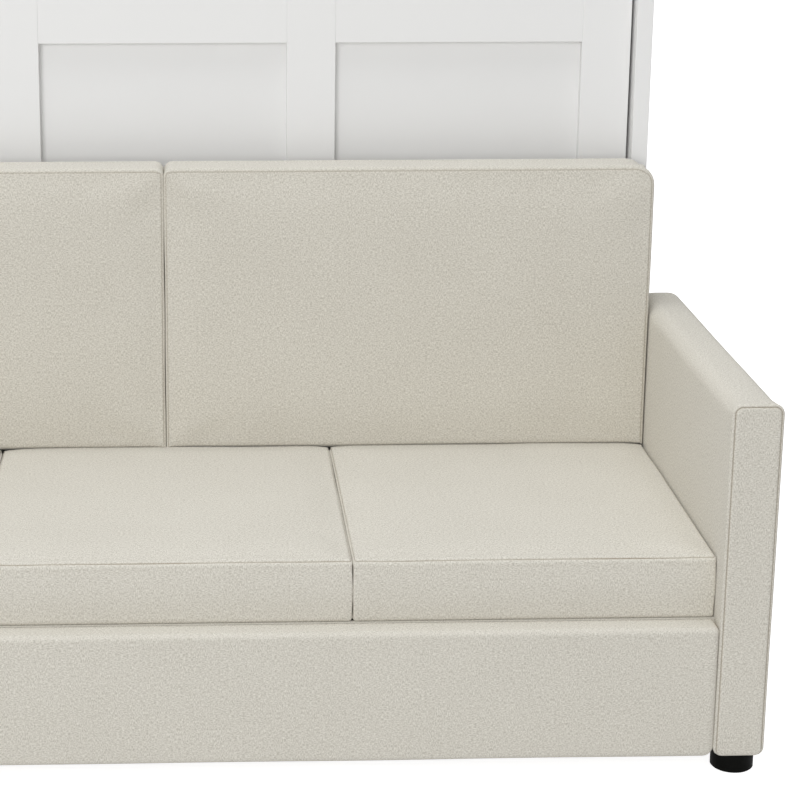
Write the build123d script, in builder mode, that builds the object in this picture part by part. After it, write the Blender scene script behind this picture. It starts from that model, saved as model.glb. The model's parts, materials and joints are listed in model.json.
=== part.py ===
from build123d import *
import math
import os

os.makedirs("parts", exist_ok=True)

# A wall bed that folds down over a sofa: a tall cabinet stands against the wall, and the sofa is
# fixed to its front. +X is to the right, +Y to the wall and +Z up. The origin is on the floor
# under the middle of the whole bed.

# The whole bed
cabinet_height = 2263
cabinet_depth = 500
side_thickness = 28
sofa_width = 1854
arm_depth = 711
arm_thickness = 78
arm_lap = 4.5
arm_top = 601
foot_height = 32
seat_height = 350
back_height = 851

# Clearances and overrun shared by all the pieces
cut_overrun = 5
hole_clearance = 0.1
running_clearance = 0.05
soft_clearance = 1

# Planes that the pieces line up with
front_y = -(arm_depth + cabinet_depth) / 2
cabinet_y = front_y + arm_depth
wall_y = cabinet_y + cabinet_depth
arm_inside_x = sofa_width / 2 - arm_thickness
arm_middle_x = sofa_width / 2 - arm_thickness / 2
side_x = arm_inside_x + arm_lap
inside_x = side_x - side_thickness

# The bed's front and steel frame, counted back from the face of the front
front_setback = 25
front_side_gap = 5
front_bottom = 125
front_top_gap = 10
overlay_thickness = 18
front_board_thickness = 16
frame_depth = 45
face_y = cabinet_y + front_setback
board_y = face_y + overlay_thickness
frame_y = board_y + front_board_thickness
mattress_y = frame_y + frame_depth
front_x = inside_x - front_side_gap
top_thickness = 28
front_top = cabinet_height - top_thickness - front_top_gap

# The bed's pivot
pivot_height = 520
pivot_behind_face = 55
pivot_y = face_y + pivot_behind_face

# The backrest's pivot, measured from the front of the back cushions
back_space = 108
back_pivot_height = 403
back_pivot_depth = 44
back_front_y = cabinet_y - back_space
back_pivot_y = back_front_y + back_pivot_depth

sides = ((-1, "left"), (1, "right"))


def block(x_span, y_span, z_span, mode=Mode.ADD):
    """A box between two limits on each axis, in the part being built."""
    centre = [(a + b) / 2 for a, b in (x_span, y_span, z_span)]
    size = [abs(b - a) for a, b in (x_span, y_span, z_span)]
    with Locations(tuple(centre)):
        Box(*size, mode=mode)


def rod(start, direction, radius, length, mode=Mode.ADD):
    """A round bar from a point along a direction, in the part being built."""
    with BuildSketch(Plane(origin=start, z_dir=direction)) as section:
        Circle(radius)
    extrude(section.sketch, amount=length, mode=mode)


def keep(builder, name):
    """Labels a finished piece and writes its STEP file."""
    builder.part.label = name
    export_step(builder.part, f"parts/{name}.step")


def pillow_section(plane, width, thickness, crown, corner, pull):
    """One section of a cushion: flat below, crowned above, drawn in at the sides."""
    half = width / 2
    diagonal = corner * (1 - math.sqrt(0.5))
    with BuildSketch(plane) as section:
        with BuildLine():
            Line((corner - half, 0), (half - corner, 0))
            ThreePointArc((half - corner, 0), (half - diagonal, diagonal), (half, corner))
            ThreePointArc((half, corner), (half - pull, thickness / 2), (half, thickness - corner))
            ThreePointArc(
                (half, thickness - corner),
                (half - diagonal, thickness - diagonal),
                (half - corner, thickness),
            )
            ThreePointArc((half - corner, thickness), (0, thickness + crown), (corner - half, thickness))
            ThreePointArc(
                (corner - half, thickness),
                (diagonal - half, thickness - diagonal),
                (-half, thickness - corner),
            )
            ThreePointArc((-half, thickness - corner), (pull - half, thickness / 2), (-half, corner))
            ThreePointArc((-half, corner), (diagonal - half, diagonal), (corner - half, 0))
        make_face()
    return section.sketch


def pillow(plane, width, length, thickness, crown, corner, pull):
    """A cushion that starts on a plane and runs its length along the plane's normal."""
    # a row is its distance along the cushion, how far it is inset and its share of the crown
    end_rows = [
        (corner * (1 - math.cos(math.radians(turn))), corner * (1 - math.sin(math.radians(turn))), 0)
        for turn in (0, 30, 60, 90)
    ]
    middle_rows = [
        (length * share, 0, math.sin(math.pi * share)) for share in (0.1, 0.22, 0.36, 0.5, 0.64, 0.78, 0.9)
    ]
    far_rows = [(length - distance, inset, 0) for distance, inset, swell in reversed(end_rows)]
    sections = []
    for distance, inset, swell in end_rows + middle_rows + far_rows:
        sections.append(
            pillow_section(
                plane.offset(distance),
                width - 2 * inset - 2 * pull * swell,
                thickness - inset,
                max(crown * swell, corner / 20),
                corner,
                pull,
            )
        )
    loft(sections, ruled=True)


# Cabinet carcass
kick_height = 110
kick_thickness = 18
wall_rail_thickness = 28
lower_rail_bottom = 20
lower_rail_height = 90
upper_rail_height = 120
headboard_thickness = 16
headboard_bottom = 760
headboard_height = 480
edge_round = 1.5
wall_screw_radius = 4
wall_screw_spacing_x = 812.8
wall_screw_spacing_z = 60
carcass_top = cabinet_height - top_thickness

# Pivot plates, screwed to the inside of the cabinet sides
plate_thickness = 4
plate_front = 20
plate_back = 200
plate_bottom = 440
plate_top = 650
plate_corner = 20
pivot_pin_radius = 10
pivot_pin_length = 24
strut_stud_radius = 4
strut_stud_length = 22
strut_base_offset = 74
plate_screw_radius = 3
plate_screw_depth = 20
plate_screw_head_radius = 6
plate_screw_head = 2.5
plate_screw_inset = 22
plate_x = inside_x - plate_thickness
plate_screw_places = [
    (cabinet_y + y, z)
    for y in (plate_front + plate_screw_inset, plate_back - plate_screw_inset)
    for z in (plate_bottom + plate_screw_inset, plate_top - plate_screw_inset)
]
strut_base_y = pivot_y + strut_base_offset
strut_base_z = pivot_height + strut_base_offset

for side, side_name in sides:
    with BuildPart() as cabinet_side:
        block((side * inside_x, side * side_x), (cabinet_y, wall_y), (0, cabinet_height))
        front_edges = cabinet_side.edges().filter_by(Axis.Z).group_by(Axis.Y)[0]
        fillet(front_edges, radius=edge_round)
        for y, z in plate_screw_places:
            rod(
                (side * inside_x, y, z),
                (side, 0, 0),
                plate_screw_radius + hole_clearance,
                plate_screw_depth,
                mode=Mode.SUBTRACT,
            )
    keep(cabinet_side, f"cabinet_side_{side_name}")

    with BuildPart() as pivot_plate:
        with BuildSketch(Plane.YZ.offset(side * plate_x)):
            with Locations(
                (
                    cabinet_y + (plate_front + plate_back) / 2,
                    (plate_bottom + plate_top) / 2,
                )
            ):
                RectangleRounded(plate_back - plate_front, plate_top - plate_bottom, plate_corner)
        extrude(amount=side * plate_thickness)
        for y, z in plate_screw_places:
            rod(
                (side * plate_x, y, z),
                (side, 0, 0),
                plate_screw_radius + hole_clearance,
                plate_thickness,
                mode=Mode.SUBTRACT,
            )
            rod(
                (side * plate_x, y, z),
                (side, 0, 0),
                plate_screw_head_radius + hole_clearance,
                plate_screw_head,
                mode=Mode.SUBTRACT,
            )
        rod((side * plate_x, pivot_y, pivot_height), (-side, 0, 0), pivot_pin_radius, pivot_pin_length)
        rod(
            (side * plate_x, strut_base_y, strut_base_z),
            (-side, 0, 0),
            strut_stud_radius,
            strut_stud_length,
        )
    keep(pivot_plate, f"pivot_plate_{side_name}")

with BuildPart() as plate_screws:
    for side, side_name in sides:
        for y, z in plate_screw_places:
            rod(
                (side * plate_x, y, z),
                (side, 0, 0),
                plate_screw_radius,
                plate_thickness + plate_screw_depth - cut_overrun,
            )
            rod((side * plate_x, y, z), (side, 0, 0), plate_screw_head_radius, plate_screw_head)
keep(plate_screws, "plate_screws")

with BuildPart() as cabinet_top:
    block((-inside_x, inside_x), (cabinet_y, wall_y), (carcass_top, cabinet_height))
    fillet(cabinet_top.edges().filter_by(Axis.X).group_by(Axis.Y)[0], radius=edge_round)
keep(cabinet_top, "cabinet_top")

with BuildPart() as kick_panel:
    block((-inside_x, inside_x), (face_y, face_y + kick_thickness), (0, kick_height))
    fillet(kick_panel.edges().filter_by(Axis.X).group_by(Axis.Z)[-1], radius=edge_round)
keep(kick_panel, "kick_panel")

wall_rail_y = wall_y - wall_rail_thickness
upper_rail_z = carcass_top - upper_rail_height / 2
with BuildPart() as wall_rails:
    block(
        (-inside_x, inside_x),
        (wall_rail_y, wall_y),
        (lower_rail_bottom, lower_rail_bottom + lower_rail_height),
    )
    block(
        (-inside_x, inside_x),
        (wall_rail_y, wall_y),
        (carcass_top - upper_rail_height, carcass_top),
    )
    with Locations(Plane(origin=(0, wall_rail_y, upper_rail_z), x_dir=(1, 0, 0), z_dir=(0, -1, 0))):
        with GridLocations(wall_screw_spacing_x, wall_screw_spacing_z, 2, 2):
            Hole(wall_screw_radius, depth=wall_rail_thickness)
keep(wall_rails, "wall_rails")

with BuildPart() as headboard_panel:
    block(
        (-inside_x, inside_x),
        (wall_y - headboard_thickness, wall_y),
        (headboard_bottom, headboard_bottom + headboard_height),
    )
keep(headboard_panel, "headboard_panel")

# Stops that the closed bed leans back on
stop_width = 28
stop_height = 60
stop_depth = 30
stop_drop = 295
bumper_radius = 9
bumper_thickness = 8
bumper_gap = 0.3
bumper_y = frame_y + bumper_gap
stop_centre = front_top - stop_drop
with BuildPart() as stop_blocks:
    for side, side_name in sides:
        block(
            (side * (inside_x - stop_width), side * inside_x),
            (bumper_y + bumper_thickness, bumper_y + bumper_thickness + stop_depth),
            (stop_centre - stop_height / 2, stop_centre + stop_height / 2),
        )
keep(stop_blocks, "stop_blocks")
with BuildPart() as stop_bumpers:
    for side, side_name in sides:
        rod(
            (side * (inside_x - stop_width / 2), bumper_y, stop_centre),
            (0, 1, 0),
            bumper_radius,
            bumper_thickness,
        )
keep(stop_bumpers, "stop_bumpers")

# Sofa arms: a wooden frame in a padded cover, on round feet
arm_pad = 12
arm_lining = 3
arm_corner = 16
arm_end_round = 5
arm_rail = 70
foot_radius = 33.25
front_foot_setback = 41
rear_foot_setback = 70
foot_chamfer = 2
foot_stud_radius = 4
foot_stud_length = 22
bushing_radius = 8
bushing_length = 30
bushing_floor = 3
back_pin_radius = 5
frame_inner_x = arm_inside_x + arm_pad
frame_outer_x = sofa_width / 2 - arm_pad
frame_bottom = foot_height + arm_lining
frame_top = arm_top - arm_pad
frame_front_y = front_y + arm_pad
frame_rear_y = cabinet_y - arm_lining
arm_frame_middle_y = (frame_front_y + frame_rear_y) / 2
foot_places = [
    (side * arm_middle_x, y)
    for side, side_name in sides
    for y in (front_y + front_foot_setback, cabinet_y - rear_foot_setback)
]

for side, side_name in sides:
    feet_here = [place for place in foot_places if place[0] * side > 0]
    with BuildPart() as arm_frame:
        block(
            (side * frame_inner_x, side * frame_outer_x),
            (frame_front_y, frame_rear_y),
            (frame_bottom, frame_top),
        )
        for low, high in ((frame_front_y, arm_frame_middle_y), (arm_frame_middle_y, frame_rear_y)):
            outer_rail = arm_rail if low == frame_front_y else arm_rail / 2
            block(
                (side * frame_inner_x, side * frame_outer_x),
                (low + outer_rail, high - (arm_rail * 3 / 2 - outer_rail)),
                (frame_bottom + arm_rail, frame_top - arm_rail),
                mode=Mode.SUBTRACT,
            )
        block(
            (side * frame_inner_x, side * frame_outer_x),
            (back_pivot_y - arm_rail / 2, frame_rear_y),
            (back_pivot_height - arm_rail / 2, back_pivot_height + arm_rail / 2),
        )
        rod(
            (side * frame_inner_x, back_pivot_y, back_pivot_height),
            (side, 0, 0),
            bushing_radius + hole_clearance,
            bushing_length,
            mode=Mode.SUBTRACT,
        )
        for x, y in feet_here:
            rod(
                (x, y, frame_bottom),
                (0, 0, 1),
                foot_stud_radius + hole_clearance,
                foot_stud_length,
                mode=Mode.SUBTRACT,
            )
    keep(arm_frame, f"arm_frame_{side_name}")

    with BuildPart() as arm_cover:
        with BuildSketch(Plane.XZ.offset(-front_y)):
            with Locations((side * arm_middle_x, (foot_height + arm_top) / 2)):
                RectangleRounded(arm_thickness, arm_top - foot_height, arm_corner)
        extrude(amount=-arm_depth)
        fillet(arm_cover.edges().group_by(Axis.Y)[0], radius=arm_end_round)
        fillet(arm_cover.edges().group_by(Axis.Y)[-1], radius=arm_end_round)
        block(
            (side * frame_inner_x, side * frame_outer_x),
            (frame_front_y, frame_rear_y),
            (frame_bottom, frame_top),
            mode=Mode.SUBTRACT,
        )
        rod(
            (side * arm_inside_x, back_pivot_y, back_pivot_height),
            (side, 0, 0),
            bushing_radius + hole_clearance,
            arm_pad,
            mode=Mode.SUBTRACT,
        )
        for x, y in feet_here:
            rod(
                (x, y, foot_height),
                (0, 0, 1),
                foot_stud_radius + hole_clearance,
                arm_lining,
                mode=Mode.SUBTRACT,
            )
    keep(arm_cover, f"arm_cover_{side_name}")

with BuildPart() as backrest_bushings:
    for side, side_name in sides:
        mouth = (side * arm_inside_x, back_pivot_y, back_pivot_height)
        rod(mouth, (side, 0, 0), bushing_radius, bushing_length)
        rod(
            mouth,
            (side, 0, 0),
            back_pin_radius + running_clearance,
            bushing_length - bushing_floor,
            mode=Mode.SUBTRACT,
        )
keep(backrest_bushings, "backrest_bushings")

with BuildPart() as sofa_feet:
    for x, y in foot_places:
        rod((x, y, 0), (0, 0, 1), foot_radius, foot_height)
    chamfer(sofa_feet.edges().group_by(Axis.Z)[0], length=foot_chamfer)
    for x, y in foot_places:
        rod((x, y, foot_height), (0, 0, 1), foot_stud_radius, foot_stud_length)
keep(sofa_feet, "sofa_feet")

# Sofa base: a padded front, rails all round and a deck under the cushions
base_bottom = 31
deck_thickness = 18
deck_top = 245
front_pad = 22
base_board = 18
base_front_round = 9
base_fabric = 6
rail_bottom = 50
base_rail_thickness = 22
cross_rail_thickness = 22
deck_rear_gap = 5
deck_bottom = deck_top - deck_thickness
base_board_y = front_y + front_pad
deck_front_y = base_board_y + base_board
deck_rear_y = cabinet_y - deck_rear_gap
base_side_x = inside_x
strap_thickness = 4
strap_x = inside_x - strap_thickness

with BuildPart() as base_front_board:
    block(
        (-arm_inside_x, arm_inside_x),
        (base_board_y, deck_front_y),
        (base_bottom, deck_top - base_fabric),
    )
keep(base_front_board, "base_front_board")

with BuildPart() as base_front_cover:
    block((-arm_inside_x, arm_inside_x), (front_y, deck_front_y), (base_bottom, deck_top))
    fillet(base_front_cover.edges().filter_by(Axis.X).group_by(Axis.Y)[0], radius=base_front_round)
    block(
        (-arm_inside_x, arm_inside_x),
        (base_board_y, deck_front_y),
        (base_bottom, deck_top - base_fabric),
        mode=Mode.SUBTRACT,
    )
keep(base_front_cover, "base_front_cover")

with BuildPart() as base_side_rails:
    for side, side_name in sides:
        block(
            (side * base_side_x, side * arm_inside_x),
            (deck_front_y, deck_rear_y),
            (rail_bottom, deck_bottom),
        )
keep(base_side_rails, "base_side_rails")

with BuildPart() as base_rear_rail:
    block(
        (-strap_x, strap_x),
        (deck_rear_y - base_rail_thickness, deck_rear_y),
        (rail_bottom, deck_bottom),
    )
keep(base_rear_rail, "base_rear_rail")

with BuildPart() as base_cross_rails:
    for x_share in (-1 / 3, 1 / 3):
        block(
            (
                x_share * base_side_x - cross_rail_thickness / 2,
                x_share * base_side_x + cross_rail_thickness / 2,
            ),
            (deck_front_y, deck_rear_y - base_rail_thickness),
            (rail_bottom, deck_bottom),
        )
keep(base_cross_rails, "base_cross_rails")

with BuildPart() as seat_deck:
    block((-arm_inside_x, arm_inside_x), (deck_front_y, deck_rear_y), (deck_bottom, deck_top))
keep(seat_deck, "seat_deck")

# Steel straps that tie the sofa's base to the cabinet sides
strap_bottom = 60
strap_height = 40
strap_reach_front = 120
strap_reach_back = 20
with BuildPart() as sofa_straps:
    for side, side_name in sides:
        block(
            (side * strap_x, side * inside_x),
            (cabinet_y - strap_reach_front, cabinet_y + strap_reach_back),
            (strap_bottom, strap_bottom + strap_height),
        )
keep(sofa_straps, "sofa_straps")

# Seat cushions
cushion_setback = 46
seat_gap_share = 0.3404
cushion_corner = 12
cushion_crown = 4
cushion_pull = 2
seat_front_y = front_y + cushion_setback
seat_rear_y = back_front_y - soft_clearance
seat_thickness = seat_height - cushion_crown - deck_top
seat_gap_x = arm_inside_x * seat_gap_share
seat_spans = (
    ("seat_cushion_left", -arm_inside_x, -seat_gap_x),
    ("seat_cushion_centre", -seat_gap_x, seat_gap_x),
    ("seat_cushion_right", seat_gap_x, arm_inside_x),
)
for cushion_name, low_x, high_x in seat_spans:
    middle = ((low_x + high_x) / 2, seat_rear_y, deck_top)
    with BuildPart() as seat_cushion:
        pillow(
            Plane(origin=middle, x_dir=(1, 0, 0), z_dir=(0, -1, 0)),
            high_x - low_x - 2 * soft_clearance,
            seat_rear_y - seat_front_y,
            seat_thickness,
            cushion_crown,
            cushion_corner,
            cushion_pull,
        )
    keep(seat_cushion, cushion_name)

# Backrest: two cushions on one board, hung on a pin at each end
back_board_thickness = 16
back_thickness = 76
back_crown = 4
back_corner = 14
bracket_thickness = 3
bracket_gap = 0.5
back_board_end_gap = 6
back_board_bottom = 375
back_board_top_drop = 16
bracket_height = 85
bracket_nose = 12
back_pin_gap = 1
back_board_y = back_front_y + back_thickness
back_board_x = arm_inside_x - back_board_end_gap
cushion_end_x = back_board_x - bracket_gap
bracket_end_x = back_board_x + bracket_thickness
with BuildPart() as backrest_board:
    block(
        (-back_board_x, back_board_x),
        (back_board_y, back_board_y + back_board_thickness),
        (back_board_bottom, back_height - back_board_top_drop),
    )
keep(backrest_board, "backrest_board")

for side, side_name in sides:
    with BuildPart() as backrest_bracket:
        block(
            (side * back_board_x, side * bracket_end_x),
            (back_pivot_y - bracket_nose, back_board_y + back_board_thickness),
            (back_pivot_height - bracket_nose, back_pivot_height + bracket_nose),
        )
        block(
            (side * back_board_x, side * bracket_end_x),
            (back_board_y, back_board_y + back_board_thickness),
            (back_board_bottom, back_board_bottom + bracket_height),
        )
        rod(
            (side * bracket_end_x, back_pivot_y, back_pivot_height),
            (side, 0, 0),
            back_pin_radius,
            arm_inside_x + bushing_length - bushing_floor - back_pin_gap - bracket_end_x,
        )
    keep(backrest_bracket, f"backrest_bracket_{side_name}")

    middle = (side * cushion_end_x / 2, back_board_y, seat_height)
    with BuildPart() as back_cushion:
        pillow(
            Plane(origin=middle, x_dir=(1, 0, 0), z_dir=(0, 0, -1)).offset(seat_height - back_height),
            cushion_end_x - 2 * soft_clearance,
            back_height - seat_height,
            back_thickness - back_crown,
            back_crown,
            back_corner,
            cushion_pull,
        )
    keep(back_cushion, f"back_cushion_{side_name}")

# Bed front: a board faced with stiles and rails, three columns of sunk panels in two rows
stile_width = 85.5
middle_rail_bottom = 1047
overlay_round = 1
column_width = (2 * front_x - 4 * stile_width) / 3
with BuildPart() as bed_front_board:
    block((-front_x, front_x), (board_y, frame_y), (front_bottom, front_top))
keep(bed_front_board, "bed_front_board")

inner_stile_x = column_width / 2 + stile_width / 2
outer_stile_x = front_x - stile_width / 2
stile_places = (-outer_stile_x, -inner_stile_x, inner_stile_x, outer_stile_x)
for stiles_name, stile_x in (("front_stiles_outer", outer_stile_x), ("front_stiles_inner", inner_stile_x)):
    with BuildPart() as stiles:
        for x in (-stile_x, stile_x):
            block((x - stile_width / 2, x + stile_width / 2), (face_y, board_y), (front_bottom, front_top))
        fillet(stiles.edges().filter_by(Axis.Z).group_by(Axis.Y)[0], radius=overlay_round)
    keep(stiles, stiles_name)

rail_spans = [
    (low_x + stile_width / 2, high_x - stile_width / 2)
    for low_x, high_x in zip(stile_places, stile_places[1:])
]
rail_places = (
    ("front_rails_bottom", front_bottom),
    ("front_rails_middle", middle_rail_bottom),
    ("front_rails_top", front_top - stile_width),
)
for rail_name, z in rail_places:
    with BuildPart() as front_rails:
        for low_x, high_x in rail_spans:
            block((low_x, high_x), (face_y, board_y), (z, z + stile_width))
        front_edges = front_rails.edges().filter_by(Axis.X).group_by(Axis.Y)[0]
        fillet(front_edges, radius=overlay_round)
    keep(front_rails, rail_name)

# Steel bed frame behind the front
frame_side_gap = 35.5
tube_width = 20
tube_wall = 2
frame_low = 135
frame_top_inset = 5
frame_high = front_top - frame_top_inset
cross_tube = 25
cross_tube_shares = (0.2, 0.5, 0.8)
centre_bar_width = 30
centre_bar_thickness = 10
slat_count = 16
slat_width = 60
slat_thickness = 8
slat_start = 105
slat_end = 100
holder_width = 26
holder_thickness = 14
holder_margin = 5
slat_grip = 18
frame_x = inside_x - frame_side_gap
tube_inside_x = frame_x - tube_width
slat_first = frame_low + slat_start
slat_last = frame_high - slat_end
slat_y = frame_y + cross_tube + centre_bar_thickness
slat_places = [
    slat_first + (slat_last - slat_first) * i / (slat_count - 1) for i in range(slat_count)
]


def tube(x_span, y_span, z_span, axis):
    """A rectangular steel tube, open at the ends of one axis (0 is X, 2 is Z)."""
    spans = [x_span, y_span, z_span]
    block(*spans)
    bore = [
        span if i == axis else (min(span) + tube_wall, max(span) - tube_wall)
        for i, span in enumerate(spans)
    ]
    block(*bore, mode=Mode.SUBTRACT)


for side, side_name in sides:
    with BuildPart() as bed_side_rail:
        tube(
            (side * tube_inside_x, side * frame_x),
            (frame_y, mattress_y),
            (frame_low, frame_high),
            axis=2,
        )
    keep(bed_side_rail, f"bed_side_rail_{side_name}")

with BuildPart() as bed_end_rails:
    for low_z in (frame_low, frame_high - tube_width):
        tube(
            (-tube_inside_x, tube_inside_x),
            (frame_y, mattress_y),
            (low_z, low_z + tube_width),
            axis=0,
        )
keep(bed_end_rails, "bed_end_rails")

cross_inset = cross_tube / 2
with BuildPart() as bed_cross_rails:
    for share in cross_tube_shares:
        z = frame_low + (frame_high - frame_low) * share
        tube(
            (-tube_inside_x, tube_inside_x),
            (frame_y, frame_y + cross_tube),
            (z - cross_inset, z + cross_inset),
            axis=0,
        )
keep(bed_cross_rails, "bed_cross_rails")

with BuildPart() as bed_centre_bar:
    block(
        (-centre_bar_width / 2, centre_bar_width / 2),
        (frame_y + cross_tube, slat_y),
        (frame_low + tube_width, frame_high - tube_width),
    )
keep(bed_centre_bar, "bed_centre_bar")

slat_x = tube_inside_x - holder_width + slat_grip
with BuildPart() as bed_slats:
    for z in slat_places:
        block(
            (-slat_x, slat_x),
            (slat_y, slat_y + slat_thickness),
            (z - slat_width / 2, z + slat_width / 2),
        )
keep(bed_slats, "bed_slats")

with BuildPart() as slat_holders:
    for side, side_name in sides:
        for z in slat_places:
            block(
                (side * (tube_inside_x - holder_width), side * tube_inside_x),
                (mattress_y - holder_thickness, mattress_y),
                (z - slat_width / 2 - holder_margin, z + slat_width / 2 + holder_margin),
            )
            block(
                (side * (tube_inside_x - holder_width), side * slat_x),
                (slat_y, slat_y + slat_thickness),
                (z - slat_width / 2, z + slat_width / 2),
                mode=Mode.SUBTRACT,
            )
keep(slat_holders, "slat_holders")

# Mattress, with the ledge and straps that hold it when the bed is up
mattress_side_gap = 8
mattress_end_gap = 28
mattress_thickness = 180
mattress_crown = 4
mattress_corner = 25
mattress_pull = 3
mattress_bottom = 160
ledge_width = 900
ledge_depth = 120
ledge_thickness = 4
strap_band = 40
strap_cloth = 2
strap_gap = 0.5
strap_rise = 690
strap_drop = 520
mattress_width = 2 * (tube_inside_x - mattress_side_gap)
mattress_length = frame_high - mattress_end_gap - mattress_bottom
strap_places_z = (mattress_bottom + strap_rise, frame_high - strap_drop)
with BuildPart() as mattress:
    pillow(
        Plane(origin=(0, mattress_y, mattress_bottom), x_dir=(1, 0, 0), z_dir=(0, 0, 1)),
        mattress_width,
        mattress_length,
        mattress_thickness - mattress_crown,
        mattress_crown,
        mattress_corner,
        mattress_pull,
    )
keep(mattress, "mattress")

with BuildPart() as mattress_ledge:
    block(
        (-ledge_width / 2, ledge_width / 2),
        (slat_y, mattress_y + ledge_depth),
        (frame_low + tube_width, frame_low + tube_width + ledge_thickness),
    )
keep(mattress_ledge, "mattress_ledge")

strap_inner_x = mattress_width / 2 + strap_gap
strap_inner_y = mattress_y + mattress_thickness + strap_gap
with BuildPart() as mattress_straps:
    for z in strap_places_z:
        span_z = (z - strap_band / 2, z + strap_band / 2)
        block(
            (-strap_inner_x - strap_cloth, strap_inner_x + strap_cloth),
            (mattress_y, strap_inner_y + strap_cloth),
            span_z,
        )
        block(
            (-strap_inner_x, strap_inner_x),
            (mattress_y, strap_inner_y),
            span_z,
            mode=Mode.SUBTRACT,
        )
keep(mattress_straps, "mattress_straps")

# Pivot arms and strut studs on the outside of the bed frame
arm_plate_thickness = 6
arm_plate_height = 260
arm_plate_drop = 60
hub_radius = 18
hub_length = 18
strut_drop = 300
strut_setback = 5
stud_boss_radius = 7
strut_side_gap = 18.5
strut_end_half = 7
open_pivot_gap = 0.4
strut_centre_x = inside_x - strut_side_gap
strut_end_x = strut_centre_x - strut_end_half
strut_bed_y = pivot_y + strut_setback
strut_bed_z = pivot_height - strut_drop
for side, side_name in sides:
    with BuildPart() as pivot_arm:
        block(
            (side * frame_x, side * (frame_x + arm_plate_thickness)),
            (frame_y, mattress_y),
            (pivot_height - arm_plate_drop, pivot_height - arm_plate_drop + arm_plate_height),
        )
        hub_start = (side * (frame_x + arm_plate_thickness), pivot_y, pivot_height)
        rod(hub_start, (side, 0, 0), hub_radius, hub_length)
        rod(
            hub_start,
            (side, 0, 0),
            pivot_pin_radius + running_clearance,
            hub_length,
            mode=Mode.SUBTRACT,
        )
    keep(pivot_arm, f"pivot_arm_{side_name}")

with BuildPart() as strut_studs:
    for side, side_name in sides:
        rod(
            (side * frame_x, strut_bed_y, strut_bed_z),
            (side, 0, 0),
            stud_boss_radius,
            strut_end_x - open_pivot_gap - frame_x,
        )
keep(strut_studs, "strut_studs")

# Gas struts, drawn out in the closed bed
strut_radius = 11
strut_bore_radius = 9
strut_rod_radius = 5
strut_end_radius = 10
strut_tube_start = 12
strut_tube_end = 208
strut_cap = 12
piston_length = 10
piston_back = 183
strut_run = (0, strut_bed_y - strut_base_y, strut_bed_z - strut_base_z)
strut_length = math.hypot(*strut_run)
strut_direction = tuple(value / strut_length for value in strut_run)


def along(side, distance):
    """The point on a strut's axis at a distance from its base."""
    return (
        side * strut_centre_x,
        strut_base_y + strut_direction[1] * distance,
        strut_base_z + strut_direction[2] * distance,
    )


for side, side_name in sides:
    with BuildPart() as strut_cylinder:
        rod(along(side, strut_tube_start), strut_direction, strut_radius, strut_tube_end - strut_tube_start)
        rod(along(side, 0), strut_direction, strut_rod_radius, strut_tube_start + cut_overrun)
        rod(
            (side * strut_end_x, strut_base_y, strut_base_z),
            (side, 0, 0),
            strut_end_radius,
            2 * strut_end_half,
        )
        rod(
            (side * strut_end_x, strut_base_y, strut_base_z),
            (side, 0, 0),
            strut_stud_radius + running_clearance,
            2 * strut_end_half,
            mode=Mode.SUBTRACT,
        )
        rod(
            along(side, strut_tube_start + strut_cap),
            strut_direction,
            strut_bore_radius + running_clearance,
            strut_tube_end - strut_tube_start - 2 * strut_cap,
            mode=Mode.SUBTRACT,
        )
        rod(
            along(side, strut_tube_end - strut_cap),
            strut_direction,
            strut_rod_radius + running_clearance,
            strut_cap,
            mode=Mode.SUBTRACT,
        )
    keep(strut_cylinder, f"strut_cylinder_{side_name}")

    with BuildPart() as strut_rod:
        rod(along(side, piston_back), strut_direction, strut_rod_radius, strut_length - piston_back)
        rod(along(side, piston_back), strut_direction, strut_bore_radius, piston_length)
        rod(
            (side * strut_end_x, strut_bed_y, strut_bed_z),
            (side, 0, 0),
            strut_end_radius,
            2 * strut_end_half,
        )
    keep(strut_rod, f"strut_rod_{side_name}")

# Folding leg on the foot end, which is also the handle
leg_drop = 105
leg_offset = 30
leg_tube_radius = 12.5
leg_tube_wall = 1.5
leg_bend = 60
leg_end = 14
leg_pad_height = 8
leg_pad_radius = 16
leg_pin_radius = 4
leg_pin_head = 3
ear_thickness = 4
ear_gap = 1
ear_height = 36
ear_nose = 9
leg_plate_height = 60
leg_x = inner_stile_x
leg_y = face_y - leg_offset
leg_z = front_top - leg_drop
leg_length = pivot_height - pivot_behind_face - leg_offset
leg_bar_z = leg_z - leg_length + leg_pad_height + leg_tube_radius

with BuildPart() as leg_frame:
    with BuildLine() as leg_path:
        FilletPolyline(
            (-leg_x, leg_y, leg_z + leg_end),
            (-leg_x, leg_y, leg_bar_z),
            (leg_x, leg_y, leg_bar_z),
            (leg_x, leg_y, leg_z + leg_end),
            radius=leg_bend,
        )
    with BuildSketch(Plane(origin=(-leg_x, leg_y, leg_z + leg_end), z_dir=(0, 0, -1))):
        Circle(leg_tube_radius)
        Circle(leg_tube_radius - leg_tube_wall, mode=Mode.SUBTRACT)
    sweep()
    for side, side_name in sides:
        rod(
            (side * leg_x - leg_tube_radius - cut_overrun, leg_y, leg_z),
            (1, 0, 0),
            leg_pin_radius + running_clearance,
            2 * (leg_tube_radius + cut_overrun),
            mode=Mode.SUBTRACT,
        )
keep(leg_frame, "leg_frame")

leg_pad_x = leg_x - leg_bend - leg_pad_radius
with BuildPart() as leg_pads:
    for side, side_name in sides:
        rod(
            (side * leg_pad_x, leg_y, leg_z - leg_length),
            (0, 0, 1),
            leg_pad_radius,
            leg_pad_height + leg_tube_radius,
        )
        rod(
            (side * leg_pad_x - leg_pad_radius, leg_y, leg_bar_z),
            (1, 0, 0),
            leg_tube_radius + hole_clearance,
            2 * leg_pad_radius,
            mode=Mode.SUBTRACT,
        )
keep(leg_pads, "leg_pads")

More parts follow.
